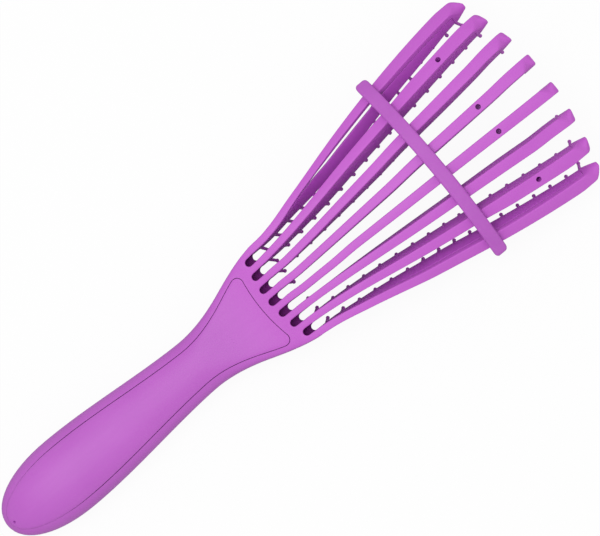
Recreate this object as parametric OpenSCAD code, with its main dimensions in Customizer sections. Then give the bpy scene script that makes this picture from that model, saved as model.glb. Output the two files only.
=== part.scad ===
// Detangling brush: a hollow handle that spreads into eight sprung arms, each an upper finger over
// a deeper strip of ball-ended pins, with a soft strap pegged across the backs of the arms.
// X runs from the handle to the tips, Z is up from the pins to the back, the brush lies on Z = 0.

/* [Overall] */
// Length from the end of the handle to the middle tips
overall_l = 240; // [238:1:244]
// Distance of the closed slot ends from the end of the handle
root_at = 117.4; // [116:0.2:119]
// Distance from the slot ends to the line where the arms bend
flex_run = 6.6; // [6:0.2:8]
// Slit left between two pieces of the brush that move on each other
part_gap = 0.3; // [0.2:0.05:0.4]

/* [Handle] */
// Greatest width of the grip
grip_w = 27.8; // [24:0.2:30]
// Distance of the widest place from the end of the handle
grip_at = 28; // [24:1:34]
// Height of the back over the floor at the widest place
grip_back_z = 19.5; // [17:0.5:22]
// Width of the neck
neck_w = 20.3; // [18:0.2:24]
// Distance of the neck from the end of the handle
neck_at = 84; // [80:1:88]
// Height of the back over the floor at the neck
neck_back_z = 16; // [15:0.5:18]
// Thickness of the handle at the neck
neck_t = 12.2; // [11:0.2:14]
// Width half way along the flare to the bridge
flare_w = 28.8; // [27:0.2:31]
// Distance of that place from the end of the handle
flare_at = 106; // [104:0.5:108]
// Height of the back over the floor at the slot ends
bridge_back_z = 17.6; // [16:0.2:19]
// Thickness of the bridge and of an arm with its strip at the root
bridge_t = 9; // [8.4:0.1:10]
// Wall of the handle shell
shell_wall = 2.2; // [1.6:0.1:2.8]

/* [Back cover] */
// Thickness of the cover panel
cover_t = 2; // [1.6:0.1:2.4]
// Width of the handle rim that shows beside the cover
cover_rim = 3.4; // [2.6:0.1:4]
// Width of that rim at the front corners of the cover
cover_front_rim = 2.3; // [1.8:0.1:3]
// Rim at the end of the handle
cover_end_rim = 1.4; // [1.2:0.1:2.4]
// Distance from the cover's front edge to the slot ends
cover_front_gap = 2; // [1.6:0.1:3]
// Corner radius at the front of the cover
cover_corner_r = 3.2; // [2:0.2:4]
// How far the middle of the cover's front edge lies behind its corners
cover_front_bow = 1.2; // [0.4:0.1:1.6]
// Fine line between the cover and the handle body
cover_line = 0.25; // [0.15:0.05:0.3]
// Width of the ledge that the cover sits on
ledge_w = 1.5; // [1:0.1:2]
// Diameter of the cover's pegs
cover_peg_d = 3; // [2.4:0.1:3.4]
// Wall of the bosses that take the pegs
boss_wall = 1.1; // [0.8:0.1:1.4]
// Clearance round a cover peg in its boss
cover_peg_fit = 0.05; // [0.02:0.01:0.1]

/* [Arms] */
// Spacing of the arms at the slot ends
root_pitch = 5.2; // [5:0.05:5.4]
// Width of a slot at its closed end
slot_w = 2.75; // [2.5:0.05:2.9]
// Sideways place of the outermost arms where they spread most steeply
outer_mid_y = 29.4; // [27:0.2:31]
// Sideways place of the outermost arms at the tips
outer_tip_y = 38.9; // [37:0.1:41]
// Width of an arm at the tips
arm_tip_w = 4.4; // [3.8:0.1:4.7]
// Thickness of an arm's upper finger
finger_t = 2.4; // [2:0.1:2.8]
// Depth of an arm and its strip at the tips
tip_depth = 5.4; // [5:0.1:7.4]
// Length of the hooked end of an arm
hook_l = 2.2; // [2:0.1:3.4]
// How far the hooked end's rounded front rises under the tip
hook_rise = 3; // [1.6:0.1:3.2]
// How far the outermost tips stand back from the middle ones
tip_sweep = 7.4; // [6:0.2:8]
// Length of the rounding at the outer corner of the outermost tips
outer_corner_l = 6; // [4.6:0.2:7]
// Length of the rounding at the inner corners, and at the outer ones of the middle tips
inner_corner_l = 0.9; // [0.6:0.1:1.4]
// Rounding of an arm's long edges
edge_r = 0.4; // [0.2:0.05:0.6]
// Height of the back over the floor under the strap
crown_z = 27; // [25:0.2:29]
// Height of the back over the floor at the middle tips
tip_back_z = 24; // [22.6:0.2:26]
// Extra droop of the last stretch of an arm
tip_droop = 1; // [0.4:0.1:1.6]
// Length of that last stretch
tip_droop_l = 11; // [9:0.5:13]

/* [Pins] */
// Distance from the slot ends to the first pin of a middle arm
first_pin_run = 8.8; // [8.4:0.2:10]
// How much later the row starts on the outermost arms
outer_first_lag = 1; // [0:0.2:3]
// Distance from the last pin of a middle arm to the hooked end of the arm
last_pin_gap = 2.8; // [1.2:0.2:5]
// The same distance on the outermost arms
outer_last_gap = 1.1; // [1:0.1:4]
// Length of a pin under its strip, with its ball
pin_l = 9.6; // [8:0.2:10]
// Diameter of a pin where it leaves the strip
pin_root_d = 1.4; // [1.2:0.05:1.6]
// Diameter of a pin under its ball
pin_neck_d = 1; // [0.8:0.05:1.2]
// Diameter of the ball end
pin_ball_d = 1.4; // [1.2:0.05:1.6]
// Number of pins on a strip
pins = 17; // [12:1:17]

/* [Strap] */
// Distance from the middle tips to the middle of the strap
strap_back_run = 48.8; // [47:0.2:52]
// Distance from the middle tips to the second row of peg holes
second_row_run = 24.8; // [22:0.2:28]
// Width of the strap
strap_w = 4.6; // [4.4:0.1:5.4]
// Thickness of the strap
strap_t = 2.4; // [2:0.1:3]
// How far the strap's ends lie behind its middle
strap_bow = 0.8; // [0:0.2:1.6]
// How far the strap reaches past the outermost arms
strap_reach = 4; // [2:0.2:5]
// Diameter of the peg holes
peg_hole_d = 1.96; // [1.7:0.02:2.1]
// Clearance round a strap peg in its hole
peg_fit = 0.06; // [0.02:0.01:0.1]

/* [Hidden] */
arms = 8;
ARM_NAMES = [for (n = [1 : arms]) str("arm_", n)];
STRIP_NAMES = [for (n = [1 : arms]) str("pin_strip_", n)];

purple = [0.77, 0.41, 0.82];
deep_purple = [0.66, 0.33, 0.72];

// Slopes of the back, rise for run
root_slope_share = 0.26;
crown_slope_share = 0.01;
tip_slope_share = -0.08;
belly_slope_share = 0.08;
neck_back_slope_share = -0.02;
bridge_belly_slope_share = 0.22;
// Slopes of the handle's side and of the outermost arm, sideways for run
neck_side_slope_share = -0.03;
flare_slope_share = 0.37;
bridge_side_slope_share = 0.13;
fan_root_slope_share = 0.1;
fan_mid_slope_share = 0.225;
fan_tip_slope_share = 0.05;
// Where the fan is steepest, as a share of the run from the slot ends to the tips
fan_mid_share = 0.465;
// Where the arch is full, as a share of the same run
arch_run_share = 0.527;
// How much of the arch an arm takes, by its place from the middle to the outside
bank_share = 1.35;
// Drop of the outermost arm below the crown for its distance from the middle
arch_drop_share = 0.24;
// Banking of the outermost arm, and the arc that gathers the arms near the tips
outer_bank = 33;
gather_arc = 42;
// Lean of a pin towards the middle for the outermost arm, and what the end pins lean on top
outer_pin_lean = 14;
end_pin_lean = 9;

// How square the handle's cross-section is at the neck and at the bridge, and its end from above
neck_roundness = 2.3;
bridge_roundness = 9;
end_roundness = 2.15;

// Places and sizes that follow from the ones above
arm_root_w = root_pitch - slot_w;
flex_at = root_at + flex_run;
tip_run = overall_l - root_at;
strap_at = overall_l - strap_back_run;
second_row_at = overall_l - second_row_run;
fan_mid_at = root_at + tip_run * fan_mid_share;
lanes = arms - 1;
half_pitch = root_pitch / 2;
outer_root_y = half_pitch * lanes;
// Longer than anything that is cut away, and how far a boss sinks into the shell's floor
cut = overall_l;
overlap = edge_r / 2;
column_base_z = neck_back_z - neck_t / 2;
// How much nearer the tips the comb root's slots close than the slots above them
comb_setback = slot_w + arm_root_w / 4;
cover_peg_l = finger_t * 2;
tongue_t = finger_t;
slot_sweep = arm_root_w;
hook_step = edge_r;
// Roundings of the strap, and the extra air under it
strap_end_r = strap_w / 4;
strap_edge_r = strap_t / 4;
strap_lift = part_gap / 6;

// Growth powers, and shares of the sizes that they follow
corner_growth = 5;
row_growth = 2.2;
depth_growth = 3;
least_arc = 1;
corner_width_share = 0.8;
edge_room_share = 0.3;
strip_width_share = 0.92;
tip_slant_share = 0.7;
peg_reach_share = 0.85;
end_cap_share = 0.06;

// Counts of rings and sides
end_rings = 8;
grip_rings = 16;
cover_rings = 16;
corner_rings = 4;
front_steps = 8;
roof_steps = 4;
handle_sides = 28;
arm_rings = 15;
bend_rings = 3;
hook_rings = 5;
strip_rings = 16;
strap_rings = 12;
strap_end_rings = 4;
round_sides = 32;
pin_sides = 16;

function held(t) = min(1, max(0, t));
function ease(t) = held(t) * held(t) * (3 - 2 * held(t));

// A smooth line through stations of [place, value, slope]
function station(rows, s) = max([0, for (i = [0 : len(rows) - 2]) if (s >= rows[i][0]) i]);
function blend_in(t) = (3 - 2 * t) * t * t;
function leave(t) = t * (t - 1) * (t - 1);
function arrive(t) = t * t * (t - 1);
function along(a, b, t) =
  a[1] + (b[1] - a[1]) * blend_in(t) + (b[0] - a[0]) * (a[2] * leave(t) + b[2] * arrive(t));
function line_at(rows, s) =
  let (i = station(rows, s), a = rows[i], b = rows[i + 1])
  along(a, b, held((s - a[0]) / (b[0] - a[0])));

// Back of the brush along its middle, from the grip to the tips
back_line = [
  [grip_at, grip_back_z, 0],
  [neck_at, neck_back_z, neck_back_slope_share],
  [root_at, bridge_back_z, root_slope_share],
  [strap_at, crown_z, crown_slope_share],
  [overall_l, tip_back_z, tip_slope_share]
];
function droop(s) = tip_droop * pow(held((s - overall_l + tip_droop_l) / tip_droop_l), 2);
function back_z(s) = line_at(back_line, s) - droop(s);
function back_slope(s) = (back_z(s + edge_r) - back_z(s - edge_r)) / (2 * edge_r);

belly_line = [
  [grip_at, 0, 0],
  [neck_at, neck_back_z - neck_t, belly_slope_share],
  [root_at, bridge_back_z - bridge_t, bridge_belly_slope_share],
  [strap_at, crown_z - bridge_t, crown_slope_share]
];
function belly_z(s) = line_at(belly_line, s);

side_line = [
  [grip_at, grip_w / 2, 0],
  [neck_at, neck_w / 2, neck_side_slope_share],
  [flare_at, flare_w / 2, flare_slope_share],
  [flex_at, outer_root_y + arm_root_w / 2, bridge_side_slope_share]
];
// The end of the handle closes on a full round
function end_share(s, start, run) =
  pow(1 - pow(held(1 - (s - start) / run), end_roundness), 1 / end_roundness);
function handle_close(s) = max(end_cap_share, end_share(s, 0, grip_at));

// Cross-section of the handle, a soft oval at the grip, a flat rounded slab at the bridge
function roundness(s) =
  neck_roundness + (bridge_roundness - neck_roundness) * ease((s - neck_at) / (root_at - neck_at));
function bow(v, n) = sign(v) * pow(abs(v), 2 / n);
function handle_ring(s) =
  let (
    n = roundness(s),
    mid = (back_z(s) + belly_z(s)) / 2,
    half_h = (back_z(s) - belly_z(s)) / 2 * handle_close(s),
    half_w = line_at(side_line, s) * handle_close(s)
  )
  [for (i = [0 : handle_sides - 1]) let (a = 360 * i / handle_sides)
    [s, -half_w * bow(cos(a), n), mid + half_h * bow(sin(a), n)]];

// A closed skin over a row of rings that all have the same number of points
module skin(rings) {
  sides = len(rings[0]);
  last = len(rings) - 1;
  points = [for (ring = rings) each ring];
  walls = [for (i = [0 : last - 1], j = [0 : sides - 1])
    let (a = i * sides + j, b = i * sides + (j + 1) % sides)
    each [[a, b, a + sides], [b, b + sides, a + sides]]];
  ends = [[for (j = [0 : sides - 1]) sides - 1 - j], [for (j = [0 : sides - 1]) last * sides + j]];
  polyhedron(points = points, faces = concat(walls, ends), convexity = 6);
}

handle_stations = concat(
  [for (i = [0 : end_rings - 1]) grip_at * (1 - cos(90 * i / end_rings))],
  [for (i = [0 : grip_rings]) grip_at + (flex_at - grip_at) * i / grip_rings]
);

module handle_solid() {
  skin([for (s = handle_stations) handle_ring(s)]);
}

// Outline of the cover seen from above, grown all round by a given amount
cover_front = root_at - cover_front_gap;
function cover_rim_at(s) =
  cover_rim + (cover_front_rim - cover_rim) * ease((s - neck_at) / (cover_front - neck_at));
function corner_loss(t, r) = r * (1 - sqrt(1 - pow(held(t), 2)));
function cover_y(s, grow) =
  let (end = cover_end_rim - grow, front = cover_front + grow, r = cover_corner_r + grow)
  (line_at(side_line, s) - cover_rim_at(s) + grow) * end_share(s, end, grip_at - end)
  - corner_loss((s - front + r) / r, r);
function cover_stations(grow) =
  let (end = cover_end_rim - grow, front = cover_front + grow, straight = front - cover_corner_r - grow)
  concat(
    [for (i = [0 : end_rings - 1]) end + (grip_at - end) * (1 - cos(90 * i / end_rings))],
    [for (i = [0 : cover_rings]) grip_at + (straight - grip_at) * i / cover_rings],
    [for (i = [1 : corner_rings]) straight + (front - straight) * sin(90 * i / corner_rings)]
  );
module cover_outline(grow) {
  rows = cover_stations(grow);
  last = len(rows) - 1;
  right = [for (i = [1 : last]) [rows[i], -cover_y(rows[i], grow)]];
  left = [for (i = [last : -1 : 1]) [rows[i], cover_y(rows[i], grow)]];
  front = [for (i = [1 : front_steps - 1]) let (t = 2 * i / front_steps - 1)
    [rows[last] - cover_front_bow * (1 - t * t), cover_y(rows[last], grow) * t]];
  polygon(concat([[rows[0], 0]], right, front, left));
}
module cover_column(grow) {
  translate([0, 0, column_base_z]) linear_extrude(cut) cover_outline(grow);
}
module lowered(depth) translate([0, 0, -depth]) handle_solid();

// Places of the cover's pegs along the middle of the handle
peg_places = [grip_at, (grip_at + neck_at) / 2, neck_at, flare_at];
boss_d = cover_peg_d + 2 * (cover_peg_fit + boss_wall);
tongue_w = boss_d * 2;

// Everything below the upper fingers, from the front of the handle shell forwards
comb_at = cover_front + cover_corner_r / 2 - cover_front_rim;
module under_fingers(gap) {
  start = comb_at + gap;
  roof = [for (i = [roof_steps : -1 : 0]) let (s = start + (flex_at - comb_at) * i / roof_steps)
    [s, back_z(s) - finger_t - gap]];
  beyond = [[start, -cut], [start + cut, -cut], [start + cut, roof[0][1]]];
  rotate([90, 0, 0]) translate([0, 0, -cut / 2]) linear_extrude(cut) polygon(concat(beyond, roof));
}

slot_r = slot_w / 2;
middle_slot = (arms - 2) / 2;
module slots(setback) {
  for (k = [-middle_slot : middle_slot]) {
    end = root_at + setback + slot_sweep * pow(k / middle_slot, 2);
    translate([end + slot_r, k * root_pitch, -cut / 2]) {
      cylinder(h = cut, r = slot_r, $fn = round_sides);
      translate([0, -slot_r, 0]) cube([cut, slot_w, cut]);
    }
  }
}

module handle_body() {
  color(purple) centred() {
    difference() {
      handle_solid();
      difference() {
        cover_column(cover_line);
        lowered(cover_t);
      }
      intersection() {
        translate([0, 0, shell_wall]) handle_solid();
        cavity_column();
      }
      under_fingers(0);
      tongue(part_gap);
      slots(0);
    }
    for (s = peg_places) boss(s);
  }
}

module cavity_column() {
  translate([0, 0, -cut / 2]) linear_extrude(cut) cover_outline(-ledge_w);
}

module boss(s) {
  floor_z = belly_z(s) + shell_wall - overlap;
  top_z = back_z(s) - cover_t - part_gap;
  translate([s, 0, floor_z]) difference() {
    cylinder(h = top_z - floor_z, d = boss_d, $fn = round_sides);
    translate([0, 0, overlap]) cylinder(h = cut, d = cover_peg_d + 2 * cover_peg_fit, $fn = round_sides);
  }
}

module back_cover() {
  color(purple) centred() {
    difference() {
      intersection() {
        handle_solid();
        cover_column(0);
      }
      lowered(cover_t - cover_line);
    }
    for (s = peg_places) translate([s, 0, back_z(s) - cover_t - cover_peg_l])
      cylinder(h = cover_peg_l + cover_t / 2, d = cover_peg_d, $fn = round_sides);
  }
}

// The tongue that the comb root slides into the handle, grown all round by a given amount
module tongue(grow) {
  back = flare_at - tongue_w / 2;
  front = comb_at + finger_t;
  low = belly_z(comb_at) + shell_wall + part_gap;
  translate([back - grow, -tongue_w / 2 - grow, low - grow])
    cube([front - back + 2 * grow, tongue_w + 2 * grow, tongue_t + 2 * grow]);
}

// What stays under the closed slot ends, where the comb root's own slots stop short
module pocket_floor() {
  translate([0, -cut / 2, belly_z(root_at) + shell_wall - cut]) cube([cut, cut, cut]);
}

module comb_root() {
  color(deep_purple) centred() {
    difference() {
      union() {
        intersection() {
          handle_solid();
          under_fingers(part_gap);
        }
        tongue(0);
      }
      slots(comb_setback);
      difference() {
        slots(0);
        pocket_floor();
      }
      translate([flare_at, 0, 0]) cylinder(h = cut, d = boss_d + 2 * part_gap, $fn = round_sides);
    }
  }
}

// Arms. A lane counts half spacings from the middle, so lanes are 1, 3, 5 and 7 on each side.
function lane_share(n) = abs(2 * n - arms - 1) / lanes;
function outward_share(n) = (abs(2 * n - arms - 1) - 1) / (lanes - 1);
function bank(u) = outer_bank * pow(abs(u), bank_share);
function arch(s) = ease((s - root_at) / (tip_run * arch_run_share));
function gather(s) = max(least_arc, gather_arc * ease((s - fan_mid_at) / (overall_l - fan_mid_at)));
fan_line = [
  [flex_at, outer_root_y, fan_root_slope_share],
  [fan_mid_at, outer_mid_y, fan_mid_slope_share],
  [overall_l, outer_tip_y, fan_tip_slope_share]
];
function arm_y(u, s) = line_at(fan_line, s) * sin(gather(s) * u) / sin(gather(s));
function arm_z(u, s) =
  back_z(s) - arch_drop_share * arch(s) * abs(arm_y(u, s)) * pow(abs(u), bank_share);
function arm_tilt(u, s) = bank(u) * arch(s);
function arm_reach(s) = held((s - root_at) / tip_run);
function arm_w(u, s) =
  (arm_root_w + (arm_tip_w - arm_root_w) * arm_reach(s)) / cos(arm_tilt(u, s));
function arm_depth(s) = bridge_t + (tip_depth - bridge_t) * pow(arm_reach(s), depth_growth);
function tip_at(n) = overall_l - tip_sweep * pow(outward_share(n), bank_share);
function hook_at(n) = tip_at(n) - hook_l;
function corner_l(n) =
  inner_corner_l + (outer_corner_l - inner_corner_l) * pow(outward_share(n), corner_growth);

// How much an arm's end leans back on its outer side, growing from the hook's rear face to the tip
function slant(n, s) =
  tip_slant_share * outward_share(n) * held((s - hook_at(n)) / hook_l);

// One cross-section of an arm on the +Y side, from depth q0 to q1 under the back face
function arm_ring(n, s, q0, q1, width_share) =
  let (
    u = lane_share(n),
    tilt = arm_tilt(u, s),
    w = arm_w(u, s),
    round_l = corner_l(n),
    loss = corner_loss((s - tip_at(n) + round_l) / round_l, min(round_l, w * corner_width_share)),
    inner = corner_loss((s - tip_at(n) + inner_corner_l) / inner_corner_l, inner_corner_l)
      - w * width_share / 2,
    outer = w * width_share / 2 - loss,
    r = min(edge_r, (outer - inner) * edge_room_share),
    y = arm_y(u, s),
    z = arm_z(u, s)
  )
  [for (p = [
    [inner + r, q0], [outer - r, q0], [outer, q0 + r], [outer, q1 - r],
    [outer - r, q1], [inner + r, q1], [inner, q1 - r], [inner, q0 + r]
  ]) [s - slant(n, s) * p[0], y + p[0] * cos(tilt) - p[1] * sin(tilt),
    z - p[0] * sin(tilt) - p[1] * cos(tilt)]];

function spread(a, b, steps) = [for (i = [0 : steps - 1]) a + (b - a) * i / steps];
function arm_stations(n) =
  let (tip = tip_at(n), hook = hook_at(n), bend = min(hook, tip - corner_l(n)) - hook_l)
  concat(
    spread(flex_at + part_gap, bend, arm_rings),
    spread(bend, hook, bend_rings),
    [hook],
    [for (i = [0 : hook_rings]) hook + hook_step + (tip - hook - hook_step) * sin(90 * i / hook_rings)]
  );
function finger_depth(n, s) =
  s > hook_at(n) ? arm_depth(s) - corner_loss((s - hook_at(n)) / hook_l, hook_rise) : finger_t;

module on_side(n) {
  if (2 * n < arms + 1) children();
  else mirror([0, 1, 0]) children();
}
module centred() translate([-overall_l / 2, 0, 0]) children();

peg_arms = [2, 4, 5, 7];
function is_peg_arm(n) = len([for (p = peg_arms) if (p == n) p]) > 0;
function strap_s(u) = strap_at - strap_bow * u * u;
module peg_hole(n, s, lean) {
  u = lane_share(n);
  translate([s, arm_y(u, s), arm_z(u, s)]) rotate([-lean, 0, 0])
    cylinder(h = arm_depth(s), d = peg_hole_d, center = true, $fn = round_sides);
}

module arm(n) {
  color(purple) centred() on_side(n) difference() {
    skin([for (s = arm_stations(n)) arm_ring(n, s, 0, finger_depth(n, s), 1)]);
    if (is_peg_arm(n)) {
      peg_hole(n, strap_s(lane_share(n)), 0);
      peg_hole(n, second_row_at, arm_tilt(lane_share(n), second_row_at));
    }
  }
}

// Pin strips
function first_pin(n) =
  root_at + first_pin_run + outer_first_lag * pow(outward_share(n), row_growth);
function last_pin(n) =
  hook_at(n) - last_pin_gap + (last_pin_gap - outer_last_gap) * pow(outward_share(n), row_growth);
function pin_lean(n, s) =
  let (from_end = min(s - first_pin(n), last_pin(n) - s))
  lane_share(n) * (outer_pin_lean + end_pin_lean * held(1 - from_end / root_pitch));
module pin(n, s) {
  u = lane_share(n);
  tilt = arm_tilt(u, s);
  seat = arm_depth(s) - edge_r;
  shaft = pin_l - pin_ball_d / 2 + edge_r;
  translate([s, arm_y(u, s) - seat * sin(tilt), arm_z(u, s) - seat * cos(tilt)])
    rotate([-pin_lean(n, s), -atan(max(0, back_slope(s))), 0])
      translate([0, 0, -shaft]) {
        cylinder(h = shaft, d1 = pin_neck_d, d2 = pin_root_d, $fn = pin_sides);
        sphere(d = pin_ball_d, $fn = pin_sides);
      }
}
module pin_strip(n) {
  start = flex_at + part_gap;
  stop = hook_at(n) - part_gap;
  stations = concat(spread(start, stop, strip_rings), [stop]);
  color(deep_purple) centred() on_side(n) {
    skin([for (s = stations) arm_ring(n, s, finger_t + part_gap, arm_depth(s), strip_width_share)]);
    for (s = concat(spread(first_pin(n), last_pin(n), pins - 1), [last_pin(n)])) pin(n, s);
  }
}

// Strap, a band laid over the arch of the arms with rounded ends
strap_u_end = 1 + strap_reach / arm_y(1, strap_at);
function strap_ring(u) =
  let (
    s = strap_s(u),
    tilt = bank(u) * sign(u) * arch(s),
    left = (strap_u_end - abs(u)) * arm_y(1, s),
    pinch = corner_loss(1 - left / strap_end_r, strap_end_r),
    half = strap_w / 2 - pinch,
    low = part_gap + strap_lift + pinch / 2,
    high = part_gap + strap_lift + strap_t - pinch / 2,
    r = min(strap_edge_r, (high - low) * edge_room_share)
  )
  [for (p = [
    [half - r, high], [-half + r, high], [-half, high - r], [-half, low + r],
    [-half + r, low], [half - r, low], [half, low + r], [half, high - r]
  ]) [s + p[0], arm_y(u, s) + p[1] * sin(tilt), arm_z(u, s) + p[1] * cos(tilt)]];
strap_edge_u = strap_u_end - strap_end_r / arm_y(1, strap_at);
strap_round_u = strap_u_end - strap_edge_u;
strap_half = concat(
  [for (i = [1 : strap_rings]) strap_edge_u * i / strap_rings],
  [for (i = [1 : strap_end_rings]) strap_edge_u + strap_round_u * sin(90 * i / strap_end_rings)]
);
strap_places = concat([for (i = [len(strap_half) - 1 : -1 : 0]) -strap_half[i]], [0], strap_half);
module strap() {
  color(purple) centred() {
    skin([for (u = strap_places) strap_ring(u)]);
    for (n = peg_arms) on_side(n) strap_peg(lane_share(n));
  }
}
module strap_peg(u) {
  s = strap_s(u);
  reach = finger_t * peg_reach_share;
  translate([s, arm_y(u, s), arm_z(u, s) - reach])
    cylinder(h = reach + part_gap + strap_lift + strap_t / 2,
      d = peg_hole_d - 2 * peg_fit, $fn = round_sides);
}

handle_body();
back_cover();
comb_root();
for (n = [1 : arms]) {
  arm(n);
  pin_strip(n);
}
strap();
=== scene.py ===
import math
import bmesh
import bpy
from mathutils import Matrix, Vector


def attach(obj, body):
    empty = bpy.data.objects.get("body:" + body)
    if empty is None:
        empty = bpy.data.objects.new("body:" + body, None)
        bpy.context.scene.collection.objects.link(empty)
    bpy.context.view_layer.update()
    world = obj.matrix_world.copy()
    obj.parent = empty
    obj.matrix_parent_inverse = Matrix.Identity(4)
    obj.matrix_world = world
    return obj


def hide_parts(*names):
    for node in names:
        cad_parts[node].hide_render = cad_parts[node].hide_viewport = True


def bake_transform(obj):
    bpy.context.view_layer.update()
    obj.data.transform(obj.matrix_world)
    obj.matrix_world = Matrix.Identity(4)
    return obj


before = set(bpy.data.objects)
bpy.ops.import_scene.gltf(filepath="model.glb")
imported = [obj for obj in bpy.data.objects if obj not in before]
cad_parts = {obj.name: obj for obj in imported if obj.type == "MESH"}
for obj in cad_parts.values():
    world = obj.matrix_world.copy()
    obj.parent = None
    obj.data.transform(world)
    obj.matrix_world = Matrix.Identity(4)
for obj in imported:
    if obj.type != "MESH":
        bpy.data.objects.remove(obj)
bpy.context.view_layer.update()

# Handle body
# The hollow lower shell of the handle and the thin bridge that the arms grow out of, one moulding in
# satin light purple plastic. Its rim shows round the inset cover, and its front is slotted into fingers.
mm = 0.001  # sizes are in millimetres, and s is the distance from the end of the handle
brush_length = 240.0
grip_at, neck_at, flare_at = 28.0, 84.0, 106.0
slot_ends_at = 117.4
flex_at = 124.0
strap_at = 191.2
root_pitch = 5.2
slot_width = 2.75
slot_sweep = 2.45
finger_thickness = 2.4
layer_gap = 0.3
bridge_thickness = 9.0
finger_edge = 0.4
shell_front = 114.7
arch_drop, arch_growth = 0.24, 1.35
fan_steepest_at = 174.409
arch_run = 64.61
# Lines along the brush: rows of place, value and slope.
back_line = [(grip_at, 19.5, 0), (neck_at, 16, -0.02), (slot_ends_at, 17.6, 0.26),
             (strap_at, 27, 0.01), (brush_length, 24, -0.08)]
belly_line = [(grip_at, 0, 0), (neck_at, 3.8, 0.08), (slot_ends_at, 8.6, 0.22), (strap_at, 18, 0.01)]
side_line = [(grip_at, 13.9, 0), (neck_at, 10.15, -0.03), (flare_at, 14.4, 0.37), (flex_at, 19.425, 0.13)]
fan_line = [(flex_at, 18.2, 0.1), (fan_steepest_at, 29.4, 0.225), (brush_length, 38.9, 0.05)]
tip_droop, tip_droop_length = 1.0, 11.0
end_roundness = 2.15
blunt_share = 0.06
grip_squareness, bridge_squareness, front_squareness = 2.3, 6.7, 15
front_from, front_run = 113, 11
level_share = 0.478
grip_flat_share, front_flat_share = 0.8, 0.977
side_steps = 5


def held(t):
    return min(1.0, max(0.0, t))


def ease(t):
    return held(t) ** 2 * (3 - 2 * held(t))


def mix(a, b, t):
    return a + (b - a) * t


def line_at(rows, s):
    """A smooth curve through rows of place, value and slope."""
    i = max(k for k in range(len(rows) - 1) if k == 0 or s >= rows[k][0])
    (x0, v0, m0), (x1, v1, m1) = rows[i], rows[i + 1]
    run = x1 - x0
    t = held((s - x0) / run)
    swell = run * (m0 * t * (t - 1) ** 2 + m1 * t * t * (t - 1))
    return v0 + (v1 - v0) * t * t * (3 - 2 * t) + swell


def back_z(s):
    """Height of the back along its middle, which droops a little at the tips."""
    droop = tip_droop * held((s - brush_length + tip_droop_length) / tip_droop_length) ** 2
    return line_at(back_line, s) - droop


def end_share(s, start, run):
    """Width near a rounded end, as a share of the full width."""
    return (1 - held(1 - (s - start) / run) ** end_roundness) ** (1 / end_roundness)


def handle_close(s):
    """The same for the end of the handle, which keeps a small blunt patch."""
    return max(blunt_share, end_share(s, 0, grip_at))


def half_width(s):
    """Half the width of the handle, or of the bridge."""
    return line_at(side_line, s) * handle_close(s)


def middle_and_half(s):
    """Height of the middle line, and half the thickness."""
    high, low = back_z(s), line_at(belly_line, s)
    return (high + low) / 2, (high - low) / 2 * handle_close(s)


def squareness(s):
    """Power of the cross-section's oval: round at the grip, nearly a box where the arms begin."""
    bridge = bridge_squareness * ease((s - neck_at) / (slot_ends_at - neck_at))
    return grip_squareness + bridge + front_squareness * ease((s - front_from) / front_run)


def arch(s):
    """How far the arch has set in, from 0 at the slots to 1 further on."""
    return ease((s - slot_ends_at) / arch_run)


def sag(s, y):
    """How far the arch has dropped at a sideways place."""
    return arch(s) * arch_drop * abs(y) * (abs(y) / line_at(fan_line, s)) ** arch_growth


def oval(s, y):
    """Height of the outer skin over its middle line, for a sideways place."""
    n = squareness(s)
    inside = 1 - min(1, abs(y) / half_width(s)) ** n
    return middle_and_half(s)[1] * inside ** (1 / n)


def back_skin(s, y):
    return middle_and_half(s)[0] + oval(s, y) - sag(s, y)


def belly_skin(s, y):
    return middle_and_half(s)[0] - oval(s, y) - sag(s, y)


def plate_under(s, y):
    return back_z(s) - finger_thickness - sag(s, y)


def comb_top(s, y):
    return plate_under(s, y) - layer_gap


def flat_edge_share(s):
    """Where the flat of the back turns over into the side."""
    return mix(grip_flat_share, front_flat_share, ease((s - neck_at) / (flex_at - neck_at)))


def side_point(s, share_from, share_to, t):
    """A point on the side of the oval, between two heights given as shares of the half height."""
    n = squareness(s)
    middle, half = middle_and_half(s)
    turns = [math.copysign(math.asin(min(1, abs(share) ** (n / 2))), share)
             for share in (share_from, share_to)]
    turn = mix(*turns, t)
    y = half_width(s) * math.cos(turn) ** (2 / n)
    rise = half * math.copysign(abs(math.sin(turn)) ** (2 / n), turn)
    return y, middle + rise - sag(s, y)


def turn_share(s):
    """Height at which the flat turns over, as a share of the half height."""
    n = squareness(s)
    return (1 - flat_edge_share(s) ** n) ** (1 / n)


def plate_share(s, depth):
    """Height of the parting between the two mouldings, as a share of the half height."""
    exact = 1 - depth / middle_and_half(s)[1]
    return mix(level_share, exact, ease((s - neck_at) / (shell_front - neck_at)))


def upper_side(s, t):
    return side_point(s, turn_share(s), plate_share(s, finger_thickness), t)


def lower_side(s, t):
    return side_point(s, plate_share(s, finger_thickness + layer_gap), -turn_share(s), t)


def fan_start(s):
    """The fingers begin parallel and turn outwards to meet the arms."""
    run = flex_at - slot_ends_at
    left = min(run, flex_at - s)
    _, half_fan, slope = fan_line[0]
    turn = slope / half_fan
    return 1 - turn * left + turn * left ** 2 / (2 * run)


slots = range(-3, 4)
arms = range(1, 9)
approach, reach, arc = 6, 5, 8  # points up to the slots, along a finger and round a slot's end


def slot_centre(k, setback=0, middle_setback=0):
    """Centre of a slot's round end. Slots away from the middle end further forward."""
    return slot_ends_at + setback + mix(middle_setback, slot_sweep, (k / slots[-1]) ** 2) + slot_width / 2


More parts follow.
